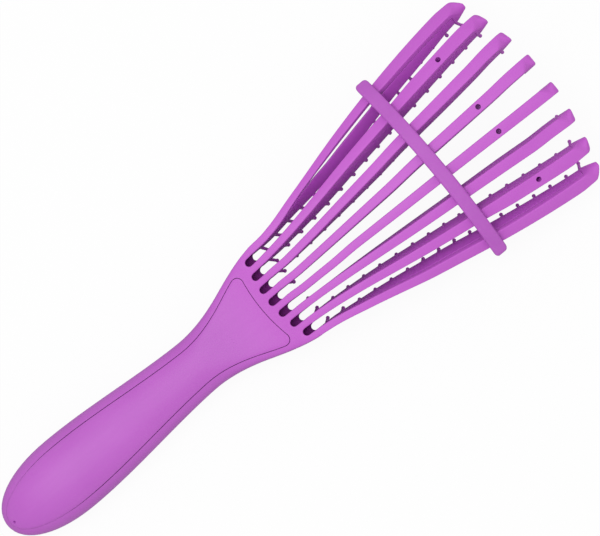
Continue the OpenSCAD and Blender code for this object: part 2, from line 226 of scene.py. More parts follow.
def slab_face(start, height, side, face, grown, centre):
    """One face of a slotted slab: the sheet up to the slots, and a sheet for every finger."""

    def edge_y(s, k, sign):
        if k not in slots:
            return side(s, face)[0] * math.copysign(1, k)
        return (k * root_pitch + sign * grown) * fan_start(s)

    columns, sheets = [], []
    for i in arms:
        left, right = slots[-1] + 2 - i, slots[-1] + 1 - i
        left_end, right_end = (centre[min(slots[-1], max(slots[0], k))] for k in (left, right))
        finger = []
        for q in (0, 0.5, 1):
            s0 = mix(left_end, right_end, q)
            rows = [mix(s0, flex_at, r / reach) for r in range(reach + 1)]
            run = [(s, mix(edge_y(s, left, -1), edge_y(s, right, 1), q)) for s in rows]
            finger.append([(s, y, height(s, y)) for s, y in run])
            columns.append(run[0])
        sheets.append(finger)
        if right in slots:
            for j in range(1, arc):
                a = math.pi * j / arc
                s0 = centre[right] - grown * math.sin(a)
                columns.append((s0, (right * root_pitch + grown * math.cos(a)) * fan_start(s0)))
    rows = []
    for r in range(approach + 1):
        places = [(mix(start, s0, r / approach), s0, y0) for s0, y0 in columns]
        row = [(s, y0 * side(s, face)[0] / side(s0, face)[0]) for s, s0, y0 in places]
        rows.append([(s, y, height(s, y)) for s, y in row])
    return [rows] + sheets, columns


def slot_wall(k, centre, top, under, edge):
    """The wall of a slot, with its rounded upper and lower edges."""
    radius = slot_width / 2
    turns = [0, math.pi / 6, math.pi / 3, math.pi / 2]
    rings = [(radius + edge[0] * (1 - math.sin(a)), top, edge[0] * (1 - math.cos(a))) for a in turns]
    rings += [(radius + edge[1] * (1 - math.sin(a)), under, -edge[1] * (1 - math.cos(a)))
              for a in (turns[::-1] if edge[1] else turns[:1])]
    round_end = [math.pi * j / arc for j in range(arc + 1)]
    wall = []
    for ring, height, drop in rings:
        path = [(mix(centre, flex_at, r / reach), ring) for r in range(reach, 0, -1)]
        path += [(centre - ring * math.sin(a), ring * math.cos(a)) for a in round_end]
        path += [(mix(centre, flex_at, r / reach), -ring) for r in range(1, reach + 1)]
        path = [(s, (k * root_pitch + y) * fan_start(s)) for s, y in path]
        wall.append([(s, y, height(s, y) - drop) for s, y in path])
    return wall


def slab(start, top, under, side, edge, setbacks=(0, 0)):
    """Sheets of a slotted slab: both faces, the slots' walls and the outer sides; also its top's columns."""
    centre = {k: slot_centre(k, *setbacks) for k in slots}
    upper, top_columns = slab_face(start, top, side, 0, slot_width / 2 + edge[0], centre)
    lower, _ = slab_face(start, under, side, 1, slot_width / 2 + edge[1], centre)
    sheets = upper + lower + [slot_wall(k, centre[k], top, under, edge) for k in slots]
    outer = [mix(start, centre[slots[-1]], r / approach) for r in range(approach + 1)]
    outer += [mix(centre[slots[-1]], flex_at, r / reach) for r in range(1, reach + 1)]
    for sign in (1, -1):
        shares = [t / side_steps for t in range(side_steps + 1)]
        sheets.append([[(s, sign * side(s, t)[0], side(s, t)[1]) for t in shares] for s in outer])
    return sheets, top_columns


crease = math.radians(38)
weld, least_edge = 0.002, 0.001


def piece(name, sheets):
    """A closed smooth mesh from sheets of points, in the frame of the brush."""
    form = bmesh.new()
    for rows in sheets:
        grid = [[form.verts.new(((s - brush_length / 2) * mm, y * mm, z * mm)) for s, y, z in row]
                for row in rows]
        for upper, lower in zip(grid, grid[1:]):
            for i in range(len(upper) - 1):
                form.faces.new((upper[i], upper[i + 1], lower[i + 1], lower[i]))
    bmesh.ops.remove_doubles(form, verts=form.verts, dist=weld * mm)
    bmesh.ops.dissolve_degenerate(form, edges=form.edges, dist=least_edge * mm)
    bmesh.ops.holes_fill(form, edges=[e for e in form.edges if e.is_boundary], sides=0)
    bmesh.ops.recalc_face_normals(form, faces=form.faces)
    mesh = bpy.data.meshes.new(name)
    form.to_mesh(mesh)
    form.free()
    made = bpy.data.objects.new(name, mesh)
    bpy.context.scene.collection.objects.link(made)
    return finish_edges(made)


def finish_edges(made):
    """Smooth everywhere, but sharp where two faces meet at more than the crease."""
    mesh = made.data
    for face in mesh.polygons:
        face.use_smooth = True
    mesh.set_sharp_from_angle(angle=crease)
    return made


def carve(made, cutter):
    """Cuts one mesh out of another and keeps the result in the first."""
    cut = made.modifiers.new("cut", "BOOLEAN")
    cut.operation, cut.solver, cut.object = "DIFFERENCE", "EXACT", cutter
    bpy.context.view_layer.update()
    seen = made.evaluated_get(bpy.context.evaluated_depsgraph_get())
    mesh = bpy.data.meshes.new_from_object(seen)
    made.modifiers.clear()
    old, made.data = made.data, mesh
    mesh.name = old.name
    bpy.data.meshes.remove(old)
    bpy.data.objects.remove(cutter)
    return finish_edges(made)


handle_sheets, top_columns = slab(shell_front, back_skin, plate_under, upper_side, (finger_edge, 0))
end_rings, tube_rings, around = 16, 44, 44
tube_places = [grip_at * (1 - math.cos(math.pi / 2 * i / end_rings)) for i in range(end_rings)]
tube_places += [mix(grip_at, shell_front, i / tube_rings) for i in range(tube_rings + 1)]
side_shares = [t / side_steps for t in range(1, side_steps + 1)]
tube = []
for s in tube_places:
    side_y = upper_side(s, 0)[0]
    ring = [(s, side_y / upper_side(s0, 0)[0] * y0) for s0, y0 in top_columns]
    ring = [(s, y, back_skin(s, y)) for s, y in ring]
    ring = [(s, *upper_side(s, t)) for t in reversed(side_shares)] + ring
    ring += [(s, -upper_side(s, t)[0], upper_side(s, t)[1]) for t in side_shares]
    n = squareness(s)
    middle, half = middle_and_half(s)
    rim = math.asin(plate_share(s, finger_thickness) ** (n / 2))
    for i in range(1, around + 1):
        a = mix(rim, -math.pi - rim, i / around)
        y = -half_width(s) * math.copysign(abs(math.cos(a)) ** (2 / n), math.cos(a))
        z = middle + half * math.copysign(abs(math.sin(a)) ** (2 / n), math.sin(a))
        ring.append((s, y, z))
    tube.append(ring)
handle_shell = piece("handle_shell", handle_sheets + [tube])

cover_front = 115.4
cover_front_bow = 1.2
cover_rim, cover_front_rim, cover_end_rim = 3.4, 2.3, 1.4
cover_corner = 3.2
cover_line, tail_share = 0.2, 0.12
line_grows_from, line_grows_over = 12, 24
cover_depth, cover_headroom = 1.9, 4
cover_end_rows, cover_rows, cover_front_rows, cover_half_points = 14, 36, 8, 10


def corner_loss(t, r):
    """How far a rounded corner has turned in, from none at 0 to its whole radius at 1."""
    return r * (1 - math.sqrt(1 - held(t) ** 2))


def cover_outline(grow):
    """Places and half widths of the cover, seen from above, grown all round but hardly at its tail."""
    end, front, r = cover_end_rim - grow * tail_share, cover_front + grow, cover_corner + grow
    straight = front - r
    turns = [math.pi / 2 * i / cover_end_rows for i in range(cover_end_rows)]
    places = [end + (grip_at - end) * (1 - math.cos(a)) for a in turns]
    places += [mix(grip_at, straight, i / cover_rows) for i in range(cover_rows + 1)]
    turns = [math.pi / 2 * i / cover_front_rows for i in range(1, cover_front_rows + 1)]
    places += [mix(straight, front, math.sin(a)) for a in turns]
    out = []
    for s in places:
        rim = mix(cover_rim, cover_front_rim, ease((s - neck_at) / (cover_front - neck_at)))
        wider = grow * mix(tail_share, 1, ease((s - line_grows_from) / line_grows_over))
        y = (line_at(side_line, s) - rim + wider) * end_share(s, end, grip_at - end)
        out.append((s, max(0, y - corner_loss((s - front + r) / r, r))))
    return out


def cover_face(grow, drop):
    """The panel's face: its front edge lies further back in the middle than at the corners."""
    shares = [f / cover_half_points for f in range(-cover_half_points, cover_half_points + 1)]
    rows = []
    for s, y in cover_outline(grow):
        hollow = cover_front_bow * held((s - neck_at) / (cover_front + grow - neck_at)) ** 2
        row = [(s - hollow * (1 - share ** 2), y * share) for share in shares]
        rows.append([(x, across, back_skin(x, across) - drop) for x, across in row])
    return rows


def cover_loop(grow, drop):
    """The rim of the panel's face, all the way round."""
    rows = cover_face(grow, drop)
    return [row[0] for row in rows] + rows[-1][1:-1] + [row[-1] for row in reversed(rows)]


recess_heights = (-cover_headroom, cover_depth)
recess = piece("recess", [cover_face(cover_line, drop) for drop in recess_heights] +
               [[cover_loop(cover_line, drop) for drop in recess_heights]])
carve(handle_shell, recess)


class Wire:
    """One value on its way through a material; sums on it add Math nodes."""

    def __init__(self, finish, socket):
        self.finish, self.socket = finish, socket

    def sum(self, operation, a, b):
        return self.finish.add("ShaderNodeMath", {"operation": operation}, {0: a, 1: b})["Value"]

    def __add__(self, other):
        return self.sum("ADD", self, other)

    def __radd__(self, other):
        return self.sum("ADD", other, self)

    def __sub__(self, other):
        return self.sum("SUBTRACT", self, other)

    def __rsub__(self, other):
        return self.sum("SUBTRACT", other, self)

    def __mul__(self, other):
        return self.sum("MULTIPLY", self, other)

    def __rmul__(self, other):
        return self.sum("MULTIPLY", other, self)

    def __gt__(self, other):
        return self.sum("GREATER_THAN", self, other)

    def __lt__(self, other):
        return self.sum("LESS_THAN", self, other)


class Finish:
    """A material, with its nodes added one after the other."""

    def __init__(self, name):
        self.material = bpy.data.materials.new(name)
        self.material.use_nodes = True
        self.tree = self.material.node_tree
        self.tree.nodes.clear()

    def add(self, kind, settings=None, inputs=None):
        node = self.tree.nodes.new(kind)
        for key, value in (settings or {}).items():
            setattr(node, key, value)
        for key, value in (inputs or {}).items():
            socket = node.inputs[key]
            if isinstance(value, Wire):
                self.tree.links.new(value.socket, socket)
            else:
                socket.default_value = value
        return {out.name: Wire(self, out) for out in node.outputs if out.enabled}

    def blend(self, share, a, b):
        made = self.add("ShaderNodeMix", {"data_type": "RGBA"}, {"Factor": share, "A": a, "B": b})
        return made["Result"]

    def noise(self, place, scale, detail, roughness):
        inputs = {"Vector": place, "Scale": scale, "Detail": detail, "Roughness": roughness}
        return self.add("ShaderNodeTexNoise", None, inputs)["Fac"]


# Where, along the brush, the handle's darker colours, which are painted shade, blend into the arms' lighter
# colours.
shade_fade_from, shade_fade_rate = -0.024, 38
purple_glow, glow_depth = (1.0, 0.35, 1.0), 1.5 * mm
pigment_scale, flow_stretch, speck_scale, grain_scale = 38, (60, 420, 420), 2600, 3800
grain_height = 0.012 * mm


def satin_plastic(name, deep, bright, gloss=0.42, shine=0.3, pocket_shade=None, front=None):
    """Moulded plastic: slow change in the pigment, faint flow marks and a fine spark-eroded grain.
    Towards the front it may blend into the arms' lighter colours, where the darker colours that paint the
    handle's shade end, and the pockets under the slots may be painted dark as shade."""
    finish = Finish(name)
    place = finish.add("ShaderNodeTexCoord")["Object"]
    pigment = finish.noise(place, pigment_scale, 3, 0.5)
    flow = finish.add("ShaderNodeMapping", None, {"Vector": place, "Scale": flow_stretch})["Vector"]
    marks = finish.noise(flow, 1, 2, 0.6)
    speck = finish.noise(place, speck_scale, 2, 0.7)
    grain = finish.add("ShaderNodeTexVoronoi", {"feature": "SMOOTH_F1"},
                       {"Vector": place, "Scale": grain_scale, "Smoothness": 0.8})["Distance"]
    share = pigment * 0.55 + marks * 0.3 + speck * 0.15
    colour = finish.blend(share, deep, bright)
    along, across, up = (finish.add("ShaderNodeSeparateXYZ", None, {"Vector": place})[k] for k in "XYZ")
    # Painted shade: towards the bridge the handle's darker colours give way to the lighter colours of the
    # arms.
    if front:
        colour = finish.blend((along - shade_fade_from) * shade_fade_rate, colour, finish.blend(share, *front))
    # Painted shade: the walls and floors of the pockets under the slots' closed ends get a dark colour, where
    # shade falls.
    if pocket_shade:
        behind, ahead, half, floor = (size * mm for size in (-3.5, 5.8, 17.6, 9.8))
        across = finish.add("ShaderNodeMath", {"operation": "ABSOLUTE"}, {0: across})["Value"]
        inside = (along > behind) * (along < ahead) * (across < half) * (up > floor)
        colour = finish.blend(inside, colour, pocket_shade)
    rough = gloss + (pigment - 0.5) * 0.1 + (speck - 0.5) * 0.12
    height = grain * 0.7 + speck * 0.3
    bump = finish.add("ShaderNodeBump", None, {"Height": height, "Strength": 0.35, "Distance": grain_height})
    skin = finish.add("ShaderNodeBsdfPrincipled", None, {
        "Base Color": colour, "Roughness": rough, "Normal": bump["Normal"], "IOR": 1.49,
        "Specular IOR Level": shine, "Subsurface Weight": 0.05, "Subsurface Scale": glow_depth,
        "Subsurface Radius": purple_glow})
    finish.add("ShaderNodeOutputMaterial", None, {"Surface": skin["BSDF"]})
    return finish.material


# The handle and the arms are one plastic; the handle's darker colours are painted shade.
shell_shaded_deep = (0.50, 0.112, 0.565, 1)
shell_shaded_bright = (0.60, 0.157, 0.665, 1)
arm_deep = (0.56, 0.112, 0.615, 1)
arm_bright = (0.67, 0.157, 0.725, 1)
shell_plastic = satin_plastic("shell_plastic", shell_shaded_deep, shell_shaded_bright, front=(arm_deep, arm_bright))


def dress(made, material, slot, body, *nodes):
    """Gives a piece its material, the body that it rides on and the nodes that it replaces; its slot is not
    used.
    """
    made.data.materials.clear()
    made.data.materials.append(material)
    if body:
        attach(made, body)
    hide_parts(*nodes)


dress(handle_shell, shell_plastic, "shell_plastic", "handle", "handle_body")

# Back cover
# The long panel let into the back of the handle, of the same plastic, pressed in with four pegs. Only a
# fine line parts it from the rim, and a small moulding mark sits at its tail.
cover_edge = 0.14
cover_thickness = 1.8
cover_turns = [math.pi / 2 * i / 3 for i in range(4)]
loops = [cover_loop(-cover_edge * (1 - math.sin(a)), cover_edge * (1 - math.cos(a))) for a in cover_turns]
loops.append(cover_loop(0, cover_thickness))
cover_panel = piece("cover_panel", [cover_face(-cover_edge, 0), loops, cover_face(0, cover_thickness)])

lengthways = Vector((1, 0, 0.02))


def round_bar(places, sides):
    """A sheet of rings round a bar: each place gives a middle, an axis and a radius."""
    sheet = []
    for middle, axis, radius in places:
        axis = Vector(axis).normalized()
        across = axis.cross(lengthways).normalized()
        other = axis.cross(across)
        ring = []
        for i in range(sides + 1):
            a = 2 * math.pi * (i % sides) / sides
            ring.append(tuple(Vector(middle) + radius * (math.cos(a) * across + math.sin(a) * other)))
        sheet.append(ring)
    return sheet


mark_at, mark_y, mark_probe = 2.7, -0.6, 0.3
mark_profile = ((0.6, 0.55), (0, 0.52), (-0.6, 0.45), (-0.9, 0.25))  # height over the skin, and radius
mark_rise = back_skin(mark_at + mark_probe, mark_y) - back_skin(mark_at - mark_probe, mark_y)
mark_axis = Vector((-mark_rise / (2 * mark_probe), 0, 1)).normalized()
mark_middle = Vector((mark_at, mark_y, back_skin(mark_at, mark_y)))
mark_places = [(mark_middle + mark_axis * h, mark_axis, r) for h, r in mark_profile]
carve(cover_panel, piece("mark", [round_bar(mark_places, sides=20)]))
dress(cover_panel, shell_plastic, "shell_plastic", "handle", "back_cover")

# Comb root
# The root plate of the front moulding, slid into the handle under the bridge. From above it shows as the dark
# lower step at the closed end of every slot, because its own slots begin a little further forward and deep
# pockets are cut there, whose walls and floors are painted dark as shade.
comb_start = shell_front + layer_gap
comb_finger_share, comb_edge = 0.25, 0.25
comb_setbacks = (slot_width + comb_finger_share * (root_pitch - slot_width), 0.55)  # of all, of the middle
comb_sheets, _ = slab(comb_start, comb_top, belly_skin, lower_side, (comb_edge, comb_edge), comb_setbacks)
comb_base = piece("comb_base", comb_sheets)
pocket_floor, pocket_top, pocket_wall, pocket_steps = 10.8, 22, 0.05, 12
turns = [math.pi * j / pocket_steps for j in range(pocket_steps + 1)]
pockets = []
for k in slots:
    centre = slot_centre(k)
    front = slot_centre(k, *comb_setbacks) - pocket_wall
    path = [(centre - slot_width / 2 * math.sin(a), math.cos(a)) for a in turns]
    path = [(front, 1)] + path + [(front, -1)]
    path = [(s, (k * root_pitch + slot_width / 2 * y) * fan_start(s)) for s, y in path + path[:1]]
    pockets.append([[(s, y, z) for s, y in path] for z in (pocket_floor, pocket_top)])
carve(comb_base, piece("pockets", pockets))
comb_deep = (0.55, 0.10, 0.615, 1)
comb_bright = (0.65, 0.145, 0.72, 1)
# A dark colour painted as shade into the pockets.
pocket_painted_shade = (0.26, 0.018, 0.29, 1)
comb_plastic = satin_plastic("comb_plastic", comb_deep, comb_bright, 0.4)
root_plastic_painted_pockets = satin_plastic("root_plastic_painted_pockets", comb_deep, comb_bright, 0.5, 0.1, pocket_shade=pocket_painted_shade)
dress(comb_base, root_plastic_painted_pockets, "comb_plastic", "handle", "comb_root")

# Arms
# Eight long back fingers, one moulding with the handle, that fan out over a shallow arch. Each ends in a
# hook that wraps round the end of the pin strip below it. Four of them have two small peg holes.
root_width, tip_width = root_pitch - slot_width, 4.4
tip_depth = 5.4
tip_sweep, tip_slant = 6.6, 0.45
hook_length, hook_rise, hook_rise_from, hook_rise_power = 5.2, 2.5, 0.6, 1.2
hook_fall, hook_bend = 2.1, 4.0
hook_round, hook_round_from, hook_round_over = 4.0, 0.8, 4
hook_steps = ((0.03, 0.12), (0.05, 0.5), (0.07, 1))  # distance past the hook's start, share of its depth
end_round, end_tuck = 0.35, 0.26
lower_edge = 0.3
inner_corner, outer_corner = 0.6, 5.2
arm_bank, arm_gather = math.radians(33), 42
widest_y = 39.82
strap_bow = 1.2
second_row_at = 215.2
peg_hole, hole_above, arm_hole_deep, strip_hole_deep = 1.96, 2.0, 4.2, 5.0
peg_arms = (2, 4, 5, 7)
plain_margin = 1
corner_growth, corner_most_share, least_corner, room_share = 5, 0.8, 0.02, 0.45
depth_growth = 3
arm_rows, plain_rows, hook_rows, end_rows = 46, 6, 16, 5

# The real brush is bent a little. Each row holds amounts by arm, and where they rise and fall: from one
# place over a run, and again from another place over a run.
out_of_line = [({1: -0.45}, (flex_at, 7, 134, 12)), ({3: -0.4, 4: -0.4}, (flex_at, 8, 172, 16)),
               ({5: 0.4}, (flex_at, 7, 142, 12)), ({8: 0.35}, (130, 14, 162, 16)),
               ({3: 0.3, 4: 0.25, 6: -0.4}, (220, 10, brush_length, 1))]
wider_outside = [({2: 0.4, 7: 0.6}, (190, 15, 226, 8))]
bowed_strip = [({1: 1}, (138, 14, 187, 11))]
finger_shift, finger_undercut = 0.5, 0.6

arm_plastic = satin_plastic("arm_plastic", arm_deep, arm_bright)


def along_arm(rows, n, s):
    """What the rows add up to for one arm at one place."""
    return sum(amounts.get(n, 0) * ease((s - start) / rise) * (1 - ease((s - stop) / fall))
               for amounts, (start, rise, stop, fall) in rows)


def lane_share(n):
    """How far out an arm lies: 1 for the first and the last."""
    return abs(2 * n - 9) / 7


def outward(n):
    """The same, but 0 for the two middle arms."""
    return (abs(2 * n - 9) - 1) / 6


def side_of(n):
    """The first four arms lie on one side, the last four on the other."""
    return 1 if n < 5 else -1


def arm_y(u, s):
    """Sideways place of a lane. Towards the tips the outer lanes gather."""
    turn = math.radians(max(1, arm_gather * ease((s - fan_steepest_at) / (brush_length - fan_steepest_at))))
    return line_at(fan_line, s) * math.sin(turn * u) / math.sin(turn)


def arm_z(u, s):
    """Height of an arm's back, lower the further out it lies."""
    return back_z(s) - arch_drop * arch(s) * abs(arm_y(u, s)) * abs(u) ** arch_growth


def arm_tilt(u, s):
    """How far an arm banks outwards."""
    return arm_bank * abs(u) ** arch_growth * arch(s)


def arm_reach(s):
    """Share of the way from the slots to the tips."""
    return held((s - slot_ends_at) / (brush_length - slot_ends_at))


def arm_width(u, s):
    """Width of the back of an arm, across its bank."""
    return (root_width + (tip_width - root_width) * arm_reach(s)) / math.cos(arm_tilt(u, s))


def arm_depth(s):
    """Depth of an arm and its strip together."""
    return mix(bridge_thickness, tip_depth, arm_reach(s) ** depth_growth)


def tip_at(n):
    """Where an arm ends: the outer ones are shorter."""
    return brush_length - tip_sweep * outward(n) ** arch_growth


def corner_length(n):
    """Length of the rounded outer corner of an arm's tip."""
    return mix(inner_corner, outer_corner, outward(n) ** corner_growth)


def rounded(left, right, high, low, r_high, r_low, r_inner):
    """Points round a rounded box, in across and depth, closed on itself."""
    points = []
    corners = ((right, high, -1, 1, r_high, 90, 4), (right, low, -1, -1, r_low, 0, 4),
               (left, low, 1, -1, r_low, -90, 4), (left, high, 1, 1, r_inner, 180, 8))
    for x, q, inwards, down, r, start, steps in corners:
        for i in range(steps + 1):
            a = math.radians(start - 90 * i / steps)
            points.append((x + inwards * r + r * math.cos(a), q + down * r - r * math.sin(a)))
    return points + points[:1]


def slant(n, s):
    """How much an arm's end leans back on its outer side."""
    return tip_slant * outward(n) ** 0.5 * held((s - tip_at(n)) / hook_length + 1)


def bend_over(n, s):
    """How far the back of the hook has bent down over the end of the strip."""
    return corner_loss((s - tip_at(n)) / hook_bend + 1, hook_fall)


def inner_round(n, s):
    """The hook's inner side turns over into its back with a growing radius."""
    start = tip_at(n) - hook_length - hook_round_from
    return mix(finger_edge, hook_round, ease((s - start) / hook_round_over))


def pull(n, s):
    """Behind the strap the first arm's strip has bowed inwards, which opens a slit of light."""
    return along_arm(bowed_strip, n, s)


def arm_ring(n, s, high, low, share=1.0, tuck=0.0, edge=finger_edge, under_edge=lower_edge,
             shift=(0, 0), undercut=0.0, wedge=0.0, round_over=0.0):
    """One cross-section of an arm, from one depth under its back to another."""
    u = lane_share(n)
    tilt, width = arm_tilt(u, s), arm_width(u, s)
    length = corner_length(n)
    loss = corner_loss((s - tip_at(n) + length) / length, min(length, width * corner_most_share))
    inner_loss = corner_loss((s - tip_at(n)) / inner_corner + 1, inner_corner)
    inner = -width * share / 2 + tuck + inner_loss + shift[0]
    outer = width * share / 2 - loss + along_arm(wider_outside, n, s)
    outer = min(outer, (widest_y - arm_y(u, s)) / math.cos(tilt)) - tuck + shift[1]
    high, low = high + tuck, low - tuck
    room = min(outer - inner, low - high) * room_share
    y, z = arm_y(u, s) + along_arm(out_of_line, n, s), arm_z(u, s)
    r_inner = min(max(edge, round_over), outer - inner - edge, low - high - under_edge) - tuck
    rounds = min(edge, room), min(under_edge, room), max(least_corner, r_inner)
    points = rounded(inner, outer, high, low, *rounds)
    points = [(p + undercut * (q - high) / (low - high) if p < 0 else p,
               q + wedge * held((p - inner) / (outer - inner)) * (low - q) / (low - high)) for p, q in points]
    return [(s - slant(n, s) * p, side_of(n) * (y + p * math.cos(tilt) - q * math.sin(tilt)),
             z - p * math.sin(tilt) - q * math.cos(tilt)) for p, q in points]


def arm_rings(n):
    """An arm from its root to its tip: a thin finger, then the hook over its whole depth."""
    tip = tip_at(n)
    hook = tip - hook_length
    plain = min(hook, tip - corner_length(n)) - plain_margin
    places = [(mix(flex_at, plain, i / arm_rows), finger_thickness) for i in range(arm_rows)]
    places += [(mix(plain, hook, i / plain_rows), finger_thickness) for i in range(plain_rows + 1)]
    places += [(hook + step, mix(finger_thickness, arm_depth(hook), share)) for step, share in hook_steps]
    past_steps, end = hook + hook_steps[-1][0], tip - end_round
    turns = [math.pi / 2 * i / hook_rows for i in range(1, hook_rows + 1)]
    places += [(mix(past_steps, end, math.sin(a)), 0) for a in turns]

    def hook_depth(s):
        raised = held((s - hook - hook_rise_from) / (hook_length - hook_rise_from))
        return arm_depth(s) - hook_rise * raised ** hook_rise_power

    rings = []
    for s, low in places:
        bow = pull(n, s)
        rings.append(arm_ring(n, s, bend_over(n, s), low or hook_depth(s), shift=(finger_shift * bow, 0),
                              undercut=finger_undercut * bow, round_over=inner_round(n, s)))
    for i in range(1, end_rows + 1):
        a = math.pi / 2 * i / end_rows
        s = end + end_round * math.sin(a)
        rings.append(arm_ring(n, s, bend_over(n, end), hook_depth(s), tuck=end_tuck * (1 - math.cos(a)),
                              round_over=inner_round(n, s)))
    return rings


def hole_cutter(n, s, lean, deep):
    """A bar as wide as a peg hole: straight up, or square to the banked back of the arm."""
    u = lane_share(n)
    axis = Vector((0, side_of(n) * math.sin(lean), math.cos(lean)))
    middle = Vector((s, arm_y(u, s) * side_of(n), arm_z(u, s)))
    places = [(middle + axis * h, axis, peg_hole / 2) for h in (hole_above, -deep)]
    return piece("hole_cutter", [round_bar(places, sides=28)])


def bend_with_arm(made, n):
    """Bakes the piece's transform into its mesh."""
    "arm_%d" % n
    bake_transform(made)


for n in arms:
    arm = piece("arm_back_%d" % n, [arm_rings(n)])
    if n in peg_arms:
        carve(arm, hole_cutter(n, second_row_at, arm_tilt(lane_share(n), second_row_at), arm_hole_deep))
        carve(arm, hole_cutter(n, strap_at - strap_bow * lane_share(n) ** 2, 0, arm_hole_deep))
    dress(arm, arm_plastic, "shell_plastic", None, "arm_%d" % n)
    bend_with_arm(arm, n)

# Pin strips
# The deeper front fingers, one moulding with the comb root, of the same plastic. Each lies under its arm
# across a fine slit, ends inside the arm's hook and carries seventeen ball-ended pins.
root_strip_share, strip_share, strip_narrows_over = 0.98, 0.92, 8
strip_edge, strip_end_round, strip_end_tuck = 0.3, 0.3, 0.1
end_gap = 0.02
strip_rows, strip_end_rows = 40, 3
pins_on_strip = 17
first_pin_run, outer_first_lag = 8.8, 1.0
last_pin_gap, outer_last_gap = 5.0, 4.1
pin_row_growth = 2.2
pin_length = 9.6
pin_root, pin_neck, pin_ball = 0.7, 0.5, 0.7
pin_foot = ((0, 0.3), (0.4, 0.22), (0.6, 0.06), (0.9, 0))  # distance along the pin, extra radius
pin_taper_share = 0.55
pin_waist = ((0.9, 0.02), (0.5, 0))  # distance before the ball, extra radius
pin_ball_turns = (-38, -15, 8, 30, 50, 68, 82)
pin_rake, pin_rake_swell, rake_from, rake_over = 3.5, 6, 138, 62
outer_pin_lean, end_pin_lean, lean_growth = 14, 9, 1.3
# On the real brush the pins of the two halves don't lean alike. First shares of the end pins' lean, by
# arm, and then degrees.
first_pin_shares, first_pin_extras = {6: 0.9, 7: 0.75, 8: 0.35}, {2: 0.4, 3: 0.5, 4: 0.85}
last_pin_shares = {2: 0.6}
less_outer_lean = [({7: 4, 8: 4}, (0, 1, 145, 50))]
extra_lean = [({7: 1, 2: -2.2, 3: -1}, (0, 1, 180, 15)), ({7: 2.5, 8: 1.5}, (180, 15, brush_length, 1)),
              ({8: -3}, (132, 8, 158, 10)), ({1: -8}, (207, 0.1, 218, 0.1))]
# The first arm's strip is bowed inwards and wedge-shaped there, and the feet of some strips stand out.
strip_wedge = 1.6
wedged_strip = [({1: strip_wedge}, (138, 14, 187, 32))]
strip_ledge, foot_shift, pin_shift = 0.4, 0.5, 0.6
slit_closed, slit_opening = -0.5, ((0.9, 150, 14), (0.15, 166, 21))  # gain, from where, over what run
feet_inwards = [({1: 0.25, 2: 0.5, 7: 0.3, 8: 0.35}, (flex_at, 8, 150, 25)),
                ({1: 0.5, 8: 0.1}, (150, 15, 205, 20)), ({1: 0.4}, (188, 8, 216, 10)),
                ({3: 0.3, 6: 0.5}, (180, 35, brush_length, 1))]


def slit(s):
    """Width of the slit of light between the first arm and its bowed strip, seen from above."""
    return slit_closed + sum(gain * held((s - start) / run) for gain, start, run in slit_opening)


def foot_inwards(n, s):
    """How far the foot of a strip stands out towards the middle of the brush."""
    return along_arm(feet_inwards, n, s) + foot_shift * pull(n, s)


def edge_shifts(n, s):
    """How far the strip's two upper edges move, so that the slit has its width and the ledge stays fine."""
    tilt, width = arm_tilt(lane_share(n), s), arm_width(lane_share(n), s)
    finger_side = (finger_shift + finger_undercut - width / 2) * math.cos(tilt)
    finger_side -= finger_thickness * math.sin(tilt)
    top = (finger_thickness + layer_gap) * math.sin(tilt)
    outer = (finger_side - slit(s) + top + strip_wedge * math.sin(tilt)) / math.cos(tilt)
    inner = (finger_side - max(0, slit(s)) - strip_ledge + top) / math.cos(tilt)
    return (inner + width * strip_share / 2) * pull(n, s), (outer - width * strip_share / 2) * pull(n, s)


def strip_rings(n):
    """A strip from its root to its end inside the hook, which is rounded off."""
    stop = tip_at(n) - hook_length - end_gap
    high = finger_thickness + layer_gap
    rings = []
    for i in range(strip_rows + 1):
        s = mix(flex_at, stop - strip_end_round, i / strip_rows)
        share = mix(root_strip_share, strip_share, ease((s - flex_at) / strip_narrows_over))
        shift = edge_shifts(n, s)
        rings.append(arm_ring(n, s, high, arm_depth(s), share, 0, strip_edge, strip_edge, shift,
                              -shift[0] - foot_inwards(n, s), along_arm(wedged_strip, n, s)))
    for i in range(1, strip_end_rows + 1):
        a = math.pi / 2 * i / strip_end_rows
        s = stop - strip_end_round + strip_end_round * math.sin(a)
        rings.append(arm_ring(n, s, high, arm_depth(s), strip_share, strip_end_tuck * (1 - math.cos(a)),
                              strip_edge, strip_edge))
    return rings


def pin_lean(n, s, first, last):
    """Pins lean towards the middle of the brush, the first and the last of a row the most."""
    u = lane_share(n)
    outer_lean = outer_pin_lean - along_arm(less_outer_lean, n, s)
    lean = outer_lean * u ** lean_growth + along_arm(extra_lean, n, s)
    at_first, at_last = held(1 - (s - first) / root_pitch), held(1 - (last - s) / root_pitch)
    lean += end_pin_lean * at_last * u ** 0.5 * last_pin_shares.get(n, 1)
    lean += end_pin_lean * at_first * (u * first_pin_shares.get(n, 1) + first_pin_extras.get(n, 0))
    return math.radians(lean)


